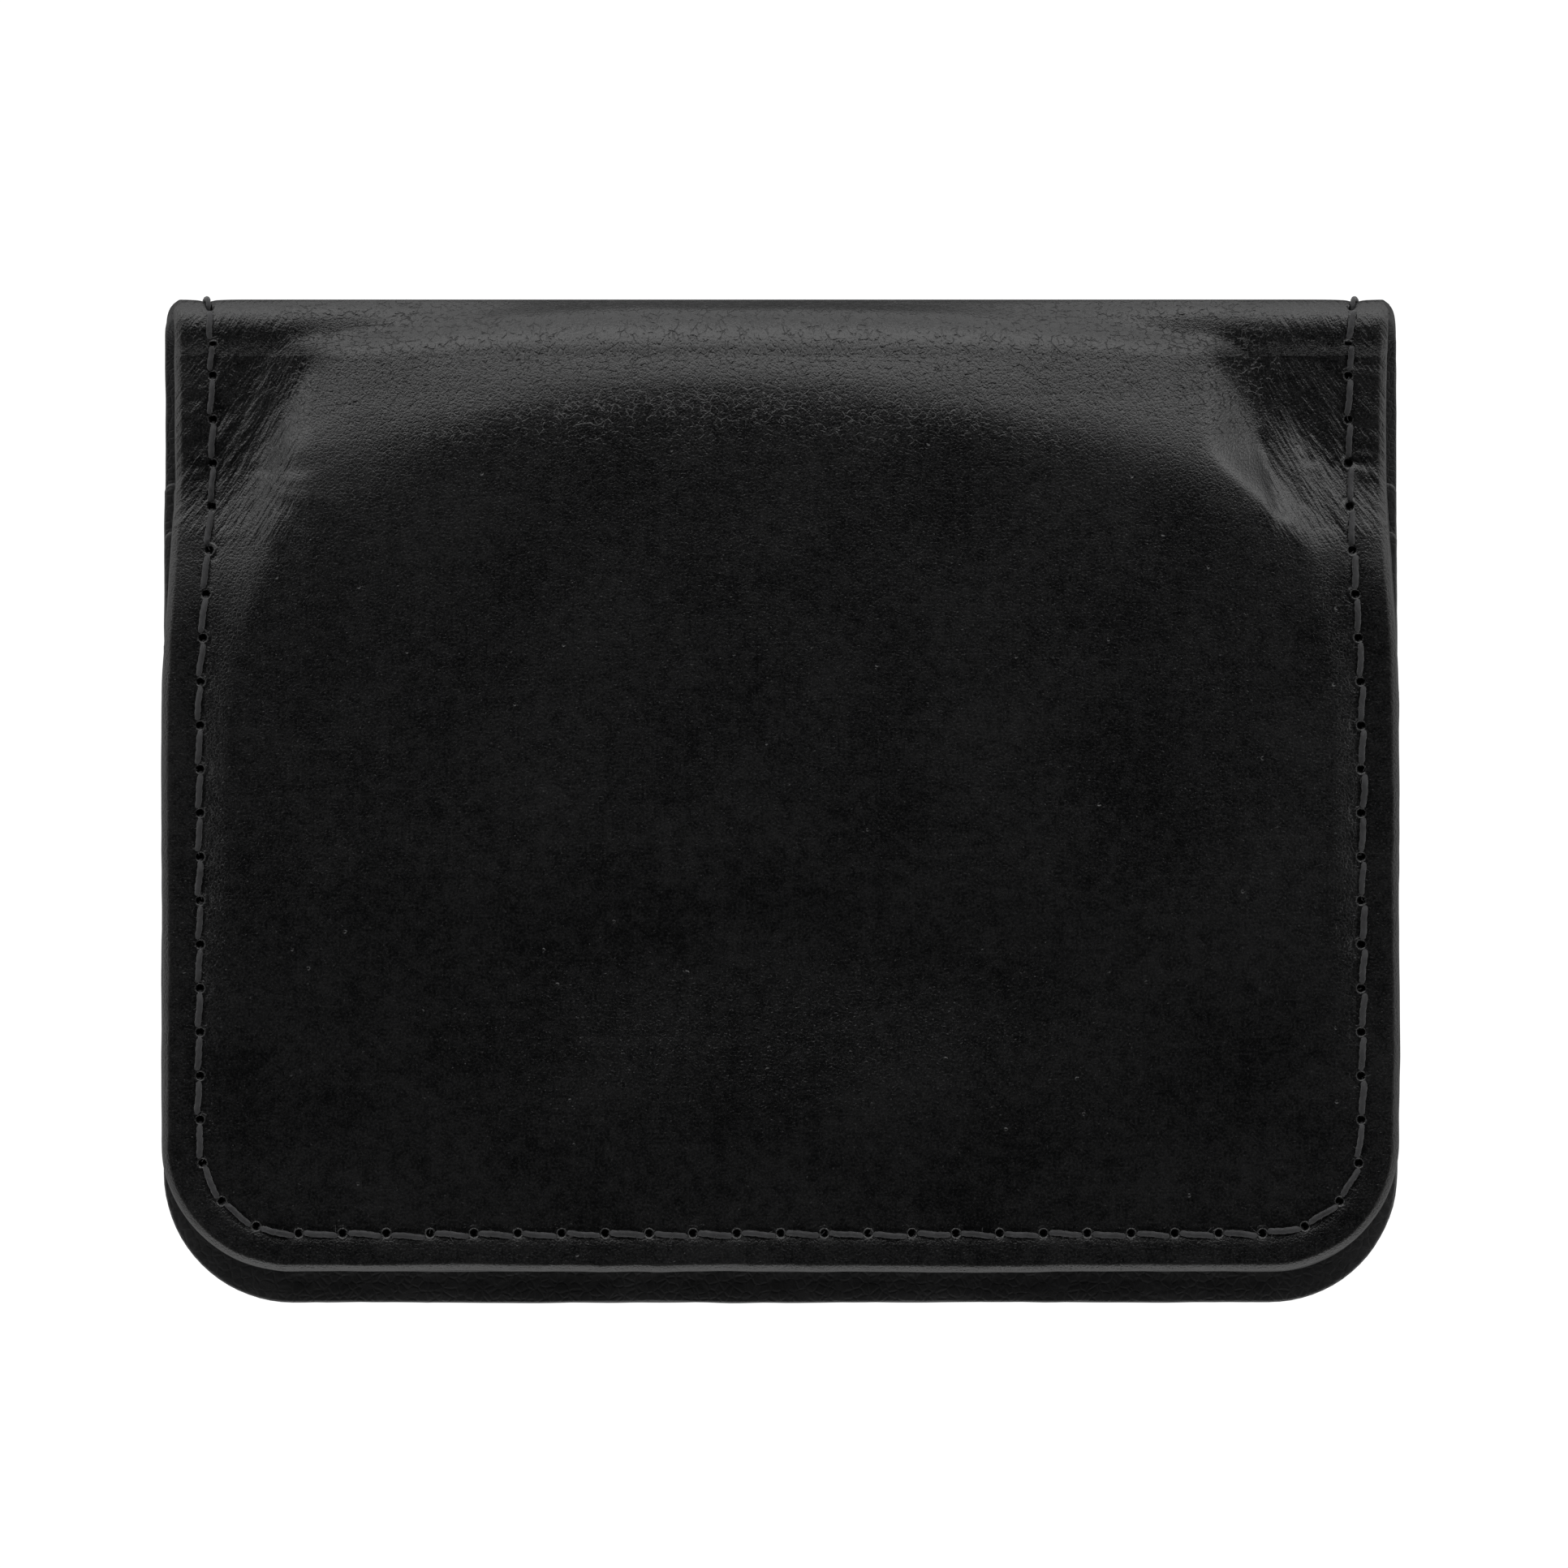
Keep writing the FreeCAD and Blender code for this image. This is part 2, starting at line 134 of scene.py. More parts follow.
def noise(x, y, seed):
    """Smooth noise from -1 to 1, one cell per unit."""
    table = np.random.default_rng(seed).uniform(-1, 1, (64, 64))
    x, y = 0.83 * x + 0.56 * y, 0.83 * y - 0.56 * x
    i, j = np.floor(x).astype(int), np.floor(y).astype(int)
    fx, fy = smooth(x - i), smooth(y - j)
    a, b = table[i % 64, j % 64], table[(i + 1) % 64, j % 64]
    c, d = table[i % 64, (j + 1) % 64], table[(i + 1) % 64, (j + 1) % 64]
    return (a * (1 - fx) + b * fx) * (1 - fy) + (c * (1 - fx) + d * fx) * fy


def crease(x, y, ends, width):
    """1 along the line between two ends, falling off over width to its sides and past its ends."""
    (x0, y0), (x1, y1) = ends
    dx, dy = x1 - x0, y1 - y0
    size = math.hypot(dx, dy)
    t = ((x - x0) * dx + (y - y0) * dy) / size
    away = ((x - x0) * dy - (y - y0) * dx) / size
    past = np.maximum(np.maximum(-t, t - size), 0)
    return np.exp(-((away / width) ** 2) - (past / (1.6 * width)) ** 2)


# ---------------------------------------------------------------- shape of the leaves


def arch(x):
    """y of the ridge where the front leaf's dome turns down towards the fold."""
    left = 0.0044 * np.maximum(-8 - x, 0) ** 2.12 + 0.6 * np.maximum(-42 - x, 0) ** 1.1
    right = 0.00037 * np.maximum(x + 8, 0) ** 2.6
    return soft_above(36.7 - left - right, 19.5, 1.5)


def dome(x, q):
    """Height of the front leaf above its flat shape, below 0 where the ends of the fold sink in."""
    y = FOLD_Y + ARC - q
    # the sides of the part that is filled out, drawn in towards the fold
    left = -52.5 + 0.42 * np.clip(y - 28.6, 0, 9.5)
    right = 52.5 - 9.2 * smooth((y - 21.5) / 11)
    wide = smooth((y - 6) / 22)
    filled = smooth((x - left) / (3.5 + 4 * wide)) * smooth((right - x) / (3.5 + 2.5 * wide))
    top = 4.5 + 1.35 * np.clip(1 - ((y - 2) / 34) ** 2, 0, 1)
    top = top * (1 - (x / 52.8) ** 2) * filled * smooth((y + 38.5) / 32)
    # the slope down to the fold, and how gently the dome turns down into it
    steep = 0.34 + 0.14 * np.exp(-((x / 27) ** 2))
    ease = 0.9 + 1.8 * smooth((-24 - x) / 14) + 0.8 * smooth((x - 14) / 12)
    h = top - steep * soft_above(y - arch(x), 0, ease)
    # how low the leather can sink, and how far from the middle of the fold it is free to move
    least = -2.7 * (1 - filled) - 1.9 * filled * smooth((np.abs(x) - 14) / 22) - 0.02
    h = soft_above(h, least, 0.3)
    start, full = 0.6 * (1 - filled), 8.3 - 3.3 * filled
    wave = 0.25 * noise(x / 5, q / 9, 27)
    return h * smooth((q + wave - start) / (full - start)) * smooth(q / 1.5)


def wrinkles(x, q):
    """Creases of the front leaf's leather at the two ends of the fold."""
    y = FOLD_Y + ARC - q
    across, up = x + 50, y - 28.6  # from the place where the seam pinches the left end
    fan, reach = np.arctan2(up, across), np.hypot(across, up)
    spread = smooth(reach / 3) * bump(reach, 5.5, 6.5) * smooth((x + 51.5) / 2)
    h = 0.07 * spread * noise(fan * 4.6, reach * 0.16, 21)
    h += 0.07 * spread * noise(fan * 9.5, reach * 0.3, 22)
    pinch = bump(x, -49.5, 3.6) * smooth((y - 27) / 3) * smooth((42 - y) / 3)
    h += 0.17 * pinch * noise((0.86 * x - 0.5 * y) / 0.75, (0.5 * x + 0.86 * y) / 5, 23)
    h += 0.10 * bump(x, -48.6, 1.8) * bump(y, 30.8, 2.6) * noise(x / 0.45, y / 0.55, 26)
    pinch = bump(x, 48.5, 4.5) * smooth((y - 21) / 4) * smooth((42 - y) / 3)
    h += 0.17 * pinch * noise((0.9 * x + 0.35 * y) / 0.9, (0.9 * y - 0.35 * x) / 5, 24)
    h -= 0.40 * crease(x, y, ((43.4, 31.5), (44.9, 26.4)), 0.8)
    h += 0.25 * crease(x, y, ((47.2, 29.2), (47.8, 26.2)), 1.0)
    h += 0.10 * bump(x, 48.0, 2.2) * bump(y, 30.5, 3.5) * noise(x / 0.5, y / 0.6, 28)
    strip = smooth((np.abs(x) - 51.0) / 1.0) * smooth((y - 27.5) / 1.5) * smooth((42 - y) / 2)
    h += 0.09 * strip * noise(x / 3.0, y / 0.8, 25)
    step = smooth((np.abs(x) - 49) / 3) * 0.08
    edge = np.where(x < 0, 28.3, 29.8)
    h += step * (smooth((edge - y) / 0.9 + 0.5) - 0.5) * bump(y, edge, 3)
    return h


def unevenness(x, v):
    """Slow waves of the whole leather. v is q on the front leaf and -q on the back leaf."""
    return 0.035 * noise(x / 6, v / 6, 31) + 0.07 * noise(x / 19, v / 19, 32)


def sunk(x, q, side):
    """How far the inner layers of a leaf go down with the leather at the ends of the fold."""
    return np.minimum(dome(x, q), 0) if side > 0 else np.zeros_like(x)


def lean(v):
    """How far the sides are drawn in towards the fold, with v as for unevenness."""
    return 1.05 * smooth((v + 3) / 9) * smooth((40 - v) / 22)


# ---------------------------------------------------------------- seam


class Seam:
    """The seam of one leaf: down one side from the fold, along the free edge and up the other side."""

    def __init__(self, side):
        self.side, self.r = side, CORNER - SEAM
        self.a, self.b = HALF - SEAM, along(FREE[side]) - SEAM
        self.leg, self.arc = self.b - self.r, self.r * math.pi / 2
        self.base = 2 * (self.a - self.r)
        self.length = 2 * self.leg + 2 * self.arc + self.base
        count = round(self.length / PITCH)
        self.pitch = self.length / count
        self.holes = (np.arange(count) + 0.5) * self.pitch

    def at(self, s):
        """x, q and the inward normal of the seam at distance s, mirrored past its middle."""
        s = np.asarray(s, float)
        mirror = np.where(s > self.length / 2, 1.0, -1.0)
        s = np.minimum(s, self.length - s)
        turn = np.clip((s - self.leg) / self.r, 0, math.pi / 2)
        x = self.a - self.r + self.r * np.cos(turn) - np.maximum(s - self.leg - self.arc, 0)
        q = np.minimum(s, self.leg) + self.r * np.sin(turn)
        return mirror * x, q, -mirror * np.cos(turn), -np.sin(turn)

    def away(self, x, q):
        """Signed distance from the seam, positive towards the edge."""
        px = np.abs(x) - (self.a - self.r)
        pq = q - (self.b - self.r)
        out = np.hypot(np.maximum(px, 0), np.maximum(pq, 0))
        return out + np.minimum(np.maximum(px, pq), 0) - self.r

    def groove(self, x, q, depth, hole):
        """The leather pulled down along the seam, the needle holes and the marks beside them."""
        away = self.away(x, q)
        h = -depth * bump(away, 0, 0.55) - 0.5 * depth * bump(away, 0, 1.7)
        for k, s in enumerate(self.holes):
            hx, hq, nx, nq = (float(c) for c in self.at(s))
            hx, hq = hx + HOLE_INSET * nx, hq + HOLE_INSET * nq
            near = np.nonzero((np.abs(x - hx) < 1.6) & (np.abs(q - hq) < 1.6))[0]
            if not len(near):
                continue
            dx, dq = x[near] - hx, q[near] - hq
            r = np.hypot(dx, dq)
            inward = smooth(0.5 + (dx * nx + dq * nq) / np.maximum(r, 0.1) * 0.7)
            wear = 0.6 + 0.4 * math.sin(k * 2.4)
            h[near] -= hole * smooth((0.40 - r) / 0.22)
            h[near] -= 0.11 * wear * inward * bump(r, 0.80, 0.14)
            h[near] += 0.05 * wear * inward * bump(r, 0.58, 0.12)
        return h

    def fine_points(self):
        """Places for the mesh to follow the groove and its holes closely."""
        points = []
        s = np.arange(0.12, self.length, 0.26)
        x, q, nx, nq = self.at(s)
        for off in (-1.5, -1.15, -0.85, -0.55, -0.3, 0.0, 0.3, 0.55, 0.85, 1.15, 1.5):
            points.append(np.stack([x + off * nx, q + off * nq], -1))
        points = np.concatenate(points)
        x, q, nx, nq = self.at(self.holes)
        x, q = x + HOLE_INSET * nx, q + HOLE_INSET * nq
        rings = [np.stack([x, q], -1)]
        keep = np.ones(len(points), bool)
        for hx, hq in rings[0]:
            keep &= np.hypot(points[:, 0] - hx, points[:, 1] - hq) > 1.02
        for radius, count in ((0.14, 7), (0.27, 11), (0.40, 14), (0.55, 16), (0.70, 20), (0.86, 22)):
            for k in range(count):
                a = 2 * math.pi * (k + 0.5 * (count % 2)) / count
                rings.append(np.stack([x + radius * math.cos(a), q + radius * math.sin(a)], -1))
        rings = np.concatenate(rings)
        rings = rings[rings[:, 1] > 0.1]
        return np.concatenate([points[keep], rings])


SEAMS = {side: Seam(side) for side in (-1, 1)}

# ---------------------------------------------------------------- sheets


def outline(corners, inset, step, closed):
    """Points along an outline of square corners, each (x, q, radius), moved in by inset."""
    p = np.array([c[:2] for c in corners], float)
    n = len(p)
    way = np.roll(p, -1, 0) - p
    way /= np.maximum(np.linalg.norm(way, axis=1), 1e-9)[:, None]
    area = np.sum(p[:, 0] * np.roll(p[:, 1], -1) - np.roll(p[:, 0], -1) * p[:, 1])
    left = np.stack([-way[:, 1], way[:, 0]], -1) * (1 if area > 0 else -1)
    parts, ends = [], []
    for i in range(n):
        prev = (i - 1) % n
        if not closed and i in (0, n - 1):
            spot = p[i] + inset * (left[0] if i == 0 else left[prev])
            ends.append((spot, spot, [spot], p[i], p[i]))
            continue
        convex = np.dot(way[prev], left[i]) < 0
        r0 = corners[i][2]
        r = max(r0 - inset, 0.02) if convex else r0 + inset
        spot = p[i] + inset * (left[prev] + left[i])
        a, b = spot - way[prev] * r, spot + way[i] * r
        c = a + b - spot
        k = max(3, int(r0 * 1.571 / step))
        turn = np.linspace(0, math.pi / 2, k + 1)[:, None]
        bend = c + np.cos(turn) * (a - c) + np.sin(turn) * (b - c)
        ends.append((a, b, list(bend), p[i] - way[prev] * r0, p[i] + way[i] * r0))
    for i in range(n if closed else n - 1):
        nxt = ends[(i + 1) % n]
        parts += ends[i][2]
        full = np.linalg.norm(nxt[3] - ends[i][4])
        count = max(1, round(full / step))
        for k in range(1, count):
            parts.append(ends[i][1] + (nxt[0] - ends[i][1]) * k / count)
    if not closed:
        parts += ends[-1][2]
    return np.array(parts)


def inside(points, loop, margin):
    """The points inside a loop and at least margin from it."""
    a, b = loop, np.roll(loop, -1, 0)
    d = b - a
    size = np.maximum((d**2).sum(1), 1e-12)
    keep = []
    for part in np.array_split(points, len(points) // 3000 + 1):
        x, y = part[:, :1], part[:, 1:]
        t = np.clip(((x - a[:, 0]) * d[:, 0] + (y - a[:, 1]) * d[:, 1]) / size, 0, 1)
        gap = (x - a[:, 0] - t * d[:, 0]) ** 2 + (y - a[:, 1] - t * d[:, 1]) ** 2
        crosses = (a[:, 1] > y) != (b[:, 1] > y)
        rise = np.where(np.abs(d[:, 1]) < 1e-9, 1e-9, d[:, 1])
        hits = crosses & (x < a[:, 0] + (y - a[:, 1]) * d[:, 0] / rise)
        keep.append((hits.sum(1) % 2 == 1) & (gap.min(1) > margin**2))
    return points[np.concatenate(keep)]


def grid(loop, step, extra=None, keep=None):
    """Points to fill a loop: a triangular grid where keep allows it, closer on the fold, and extra ones."""
    (x0, q0), (x1, q1) = loop.min(0), loop.max(0)
    rows, q = [], q0 + step * 0.5
    while q < q1:
        rows.append(q)
        q += step * (0.62 if q < ARC + 2 else 0.87)
    points = []
    for k, q in enumerate(rows):
        x = np.arange(x0 + step * (0.25 + 0.5 * (k % 2)), x1, step)
        points.append(np.stack([x, np.full_like(x, q)], -1))
    points = np.concatenate(points)
    if extra is not None:
        points = np.concatenate([points[keep(*points.T)], extra])
    return inside(points, loop, 0.12 if extra is not None else 0.4 * step)


def fill(loop, points):
    """Triangles that fill a loop, as indices into loop then points."""
    spots = [Vector(p) for p in np.concatenate([loop, points]).tolist()]
    n = len(loop)
    rim = [(i, (i + 1) % n) for i in range(n)]
    _, _, faces, origin, _, _ = delaunay_2d_cdt(spots, rim, [], 1, 1e-5)
    return [tuple(origin[i][0] for i in f) for f in faces]


class Shape:
    """Vertices in flat coordinates, with faces, that become one mesh."""

    def __init__(self, side):
        self.side, self.flat, self.rest, self.wear, self.faces, self.walls = side, [], [], [], [], []
        self.count = 0

    def add(self, x, q, d, shift, wear=0.0):
        """Adds vertices at depth d moved outwards by shift, and returns their indices."""
        n = len(x)
        self.flat.append(np.stack([x, q, d - shift], -1))
        self.rest.append(np.stack([x, self.side * q, np.broadcast_to(d, x.shape)], -1))
        self.wear.append(np.broadcast_to(wear, (n,)).astype(float))
        self.count += n
        return np.arange(self.count - n, self.count)

    def build(self, name, material, nodes):
        flat, rest = np.concatenate(self.flat), np.concatenate(self.rest)
        wear = np.concatenate(self.wear)
        used = np.zeros(self.count, bool)
        for f in self.faces + self.walls:
            used[list(f)] = True
        number = np.cumsum(used) - 1
        faces = [tuple(int(number[i]) for i in f) for f in self.faces + self.walls]
        flat, rest, wear = flat[used], rest[used], wear[used]
        v = self.side * flat[:, 1]
        out = np.abs(flat[:, 0])
        drawn = lean(v) * smooth((out - 40) / 9) + 0.5 * np.exp(-((v / 3.2) ** 2)) * smooth((out - 49) / 5)
        flat[:, 0] -= np.sign(flat[:, 0]) * drawn
        points = place(flat[:, 0], flat[:, 1], flat[:, 2], self.side) * MM
        mesh = bpy.data.meshes.new(name)
        mesh.from_pydata(points.tolist(), [], faces)
        smooth_faces = np.ones(len(faces), bool)
        if self.walls:
            smooth_faces[-len(self.walls) :] = False
        mesh.polygons.foreach_set("use_smooth", smooth_faces)
        spot = mesh.attributes.new("flat_place", "FLOAT_VECTOR", "POINT")
        spot.data.foreach_set("vector", rest.astype(np.float32).ravel())
        worn = mesh.attributes.new("worn", "FLOAT", "POINT")
        worn.data.foreach_set("value", wear.astype(np.float32))
        mesh.update()
        face_out(mesh)
        mesh.materials.append(material)
        piece = bpy.data.objects.new(name, mesh)
        scene.collection.objects.link(piece)
        if nodes:
            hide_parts(*nodes)
        return piece


def face_out(mesh):
    """Turns the faces of a closed mesh so that they all face out."""
    work = bmesh.new()
    work.from_mesh(mesh)
    bmesh.ops.recalc_face_normals(work, faces=work.faces)
    work.to_mesh(mesh)
    work.free()


def wobble(x, v, seed):
    """How far an edge wanders out of line."""
    return 0.10 * noise(x / 9, v / 9, seed) + 0.05 * noise(x / 2.3, v / 2.3, seed + 1)


def add_sheet(shape, corners, closed, depths, outer, inner, lip=(0.3, 0.3), step=1.0, seed=0):
    """Adds a sheet between two depths.

    outer and inner are its two faces: the grid's step, the function that shifts it and, where it has
    fine detail, extra points and where to keep the grid. lip is how far the edge's rounding reaches in
    and down.
    """
    d0, d1 = depths
    side = shape.side
    deep = (d1 - d0) / 2
    reach, drop = lip
    profile = []
    for a, b in ((1, 0), (0.84, 0.05), (0.68, 0.18), (0.22, 0.72), (0.06, 0.95), (0, 1.3)):
        profile.append((reach * a, d0 + min(drop, 0.8 * deep) * b))
    small = min(0.22, deep * 0.8)
    for a in (1.0, 0.66, 0.33, 0):
        turn = a * math.pi / 2
        profile.append((small * (1 - math.sin(turn)), d1 - small * (1 - math.cos(turn))))
    rings, loops = [], []
    for k, (inset, d) in enumerate(profile):
        ring = outline(corners, inset, step, closed)
        x, q = ring[:, 0], ring[:, 1]
        share = (d - d0) / (d1 - d0)
        shift = (1 - share) * outer[1](x, q) + share * inner[1](x, q)
        worn = 1.0 if 0 < k < len(profile) - 1 else 0.35
        out = wobble(x, side * q, seed) * (1 - 0.3 * share)
        bottom = smooth((q - q.max() + 6) / 6)
        moved_x = x + out * np.sign(x) * smooth((np.abs(x) - HALF + 4) / 3)
        moved_q = q + (out * bottom if not closed or q.max() > along(-40) else 0)
        rings.append(shape.add(moved_x, moved_q, np.full_like(x, d), shift, worn))
        loops.append(np.stack([moved_x, moved_q], -1))
    lines = []
    for ring, (step_in, shift, *detail), d in ((0, outer, d0), (-1, inner, d1)):
        loop, ids = loops[ring], rings[ring]
        if not closed:
            count = round((loop[-1, 0] - loop[0, 0]) / max(step, 0.5))
            x = np.linspace(loop[-1, 0], loop[0, 0], count + 1)[1:-1]
            q = np.zeros_like(x)
            line = shape.add(x, q, np.full_like(x, d), shift(x, q))
            loop = np.concatenate([loop, np.stack([x, q], -1)])
            ids = np.concatenate([ids, line])
        points = grid(loop, step_in, *detail)
        if not closed:
            points = np.concatenate([np.stack([x, np.full_like(x, JOIN_ROW)], -1), points])
        x, q = points.T
        rim = smooth((np.abs(x) - HALF + 2) / 2)
        near = shape.add(x, q, np.full_like(x, d), shift(x, q), 0.35 * rim)
        ids = np.concatenate([ids, near])
        shape.faces += [tuple(ids[list(f)]) for f in fill(loop, points)]
        if not closed:
            lines.append(line)
    n = len(rings[0])
    for a, b in zip(rings, rings[1:]):
        for k in range(n if closed else n - 1):
            m = (k + 1) % n
            shape.faces.append((a[k], a[m], b[m], b[k]))
    if not closed:
        left, right = [r[0] for r in rings], [r[-1] for r in rings]
        shape.walls.append(tuple(left + list(lines[1][::-1]) + right[::-1] + list(lines[0])))


def leaf_corners(side):
    end = along(FREE[side])
    return [(-HALF, 0, 0), (-HALF, end, CORNER), (HALF, end, CORNER), (HALF, 0, 0)]


def panel_corners(side, top):
    """A pocket panel as wide as the leaf, from its mouth down to the free edge."""
    end = along(FREE[side])
    return [(-HALF, top, 0.8), (-HALF, end, CORNER), (HALF, end, CORNER), (HALF, top, 0.8)]


def turned_corners(side, top):
    """The turned-under margin of a panel, on three sides."""
    end, inner = along(FREE[side]), HALF - TURNED
    return [
        (-HALF, top, 0.2), (-HALF, end, CORNER), (HALF, end, CORNER), (HALF, top, 0.2),
        (inner, top, 0.2), (inner, end - TURNED, CORNER - TURNED),
        (-inner, end - TURNED, CORNER - TURNED), (-inner, top, 0.2),
    ]  # fmt: skip


def slot_corners(top, wing, tail, inner):
    """A T-shaped panel: a full-width mouth with a narrower tail under the next panel."""
    return [
        (-HALF, top, 0.8), (-HALF, wing, 0.3), (-inner, wing, 0.3), (-inner, tail, 1.0),
        (inner, tail, 1.0), (inner, wing, 0.3), (HALF, wing, 0.3), (HALF, top, 0.8),
    ]  # fmt: skip


# ---------------------------------------------------------------- materials


class Finish:
    """A node material whose texture lies in the flat leather, in millimetres."""

    def __init__(self, name):
        self.material = bpy.data.materials.new(name)
        self.material.use_nodes = True
        self.nodes = self.material.node_tree.nodes
        self.links = self.material.node_tree.links
        self.shader = self.nodes["Principled BSDF"]
        self.spot = self.nodes.new("ShaderNodeAttribute")
        self.spot.attribute_name = "flat_place"
        self.worn = self.nodes.new("ShaderNodeAttribute")
        self.worn.attribute_name = "worn"

    def put(self, socket, value):
        if isinstance(value, bpy.types.NodeSocket):
            self.links.new(value, socket)
        else:
            socket.default_value = value

    def noise(self, size, detail=3.0, rough=0.5, stretch=None, spin=0.0):
        place_in = self.spot.outputs["Vector"]
        if stretch:
            turn = self.nodes.new("ShaderNodeMapping")
            turn.inputs["Scale"].default_value = stretch
            turn.inputs["Rotation"].default_value = (0, 0, spin)
            self.links.new(place_in, turn.inputs["Vector"])
            place_in = turn.outputs["Vector"]
        node = self.nodes.new("ShaderNodeTexNoise")
        self.links.new(place_in, node.inputs["Vector"])
        node.inputs["Scale"].default_value = 1 / size
        node.inputs["Detail"].default_value = detail
        node.inputs["Roughness"].default_value = rough
        return node.outputs["Fac"]

    def pleats(self, size, length, lean_angle):
        """Streaks that lean towards the middle of the wallet, mirrored left to right."""
        split, joined = self.nodes.new("ShaderNodeSeparateXYZ"), self.nodes.new("ShaderNodeCombineXYZ")
        self.links.new(self.spot.outputs["Vector"], split.inputs["Vector"])
        self.put(joined.inputs["X"], self.math("ABSOLUTE", split.outputs["X"]))
        self.put(joined.inputs["Y"], split.outputs["Y"])
        turn = self.nodes.new("ShaderNodeMapping")
        turn.vector_type = "TEXTURE"
        turn.inputs["Scale"].default_value = (size, length, 1)
        turn.inputs["Rotation"].default_value = (0, 0, lean_angle)
        self.links.new(joined.outputs["Vector"], turn.inputs["Vector"])
        node = self.nodes.new("ShaderNodeTexNoise")
        self.links.new(turn.outputs["Vector"], node.inputs["Vector"])
        node.inputs["Scale"].default_value = 1
        node.inputs["Detail"].default_value = 3
        return node.outputs["Fac"]

    def cells(self, size, feature="F1", waviness=0.0):
        """Voronoi cells, their edges pushed about by noise."""
        place_in = self.spot.outputs["Vector"]
        if waviness:
            wave = self.nodes.new("ShaderNodeTexNoise")
            self.links.new(place_in, wave.inputs["Vector"])
            wave.inputs["Scale"].default_value = 0.9 / size
            push = self.nodes.new("ShaderNodeVectorMath")
            push.operation = "MULTIPLY_ADD"
            self.links.new(wave.outputs["Color"], push.inputs[0])
            push.inputs[1].default_value = (waviness * size,) * 3
            self.links.new(place_in, push.inputs[2])
            place_in = push.outputs["Vector"]
        node = self.nodes.new("ShaderNodeTexVoronoi")
        node.feature = feature
        self.links.new(place_in, node.inputs["Vector"])
        node.inputs["Scale"].default_value = 1 / size
        return node.outputs["Distance"]

    def span(self, value, a, b, lo=0.0, hi=1.0):
        """value from a to b becomes lo to hi, smoothly."""
        node = self.nodes.new("ShaderNodeMapRange")
        node.interpolation_type = "SMOOTHSTEP"
        self.put(node.inputs["Value"], value)
        for name, number in zip(("From Min", "From Max", "To Min", "To Max"), (a, b, lo, hi)):
            node.inputs[name].default_value = number
        return node.outputs["Result"]

    def math(self, kind, *values):
        node = self.nodes.new("ShaderNodeMath")
        node.operation = kind
        for socket, value in zip(node.inputs, values):
            self.put(socket, value)
        return node.outputs[0]

    def add(self, *values):
        total = values[0]
        for value in values[1:]:
            total = self.math("ADD", total, value)
        return total

    def colour(self, factor, low, high):
        node = self.nodes.new("ShaderNodeMix")
        node.data_type = "RGBA"
        self.put(node.inputs["Factor"], factor)
        node.inputs[6].default_value = (*low, 1)
        node.inputs[7].default_value = (*high, 1)
        return node.outputs[2]

    def relief(self, height, distance):
        node = self.nodes.new("ShaderNodeBump")
        node.inputs["Distance"].default_value = distance * MM
        self.put(node.inputs["Height"], height)
        self.links.new(node.outputs["Normal"], self.shader.inputs["Normal"])

    def set(self, **sockets):
        for name, value in sockets.items():
            self.put(self.shader.inputs[name.replace("_", " ")], value)
        return self.material


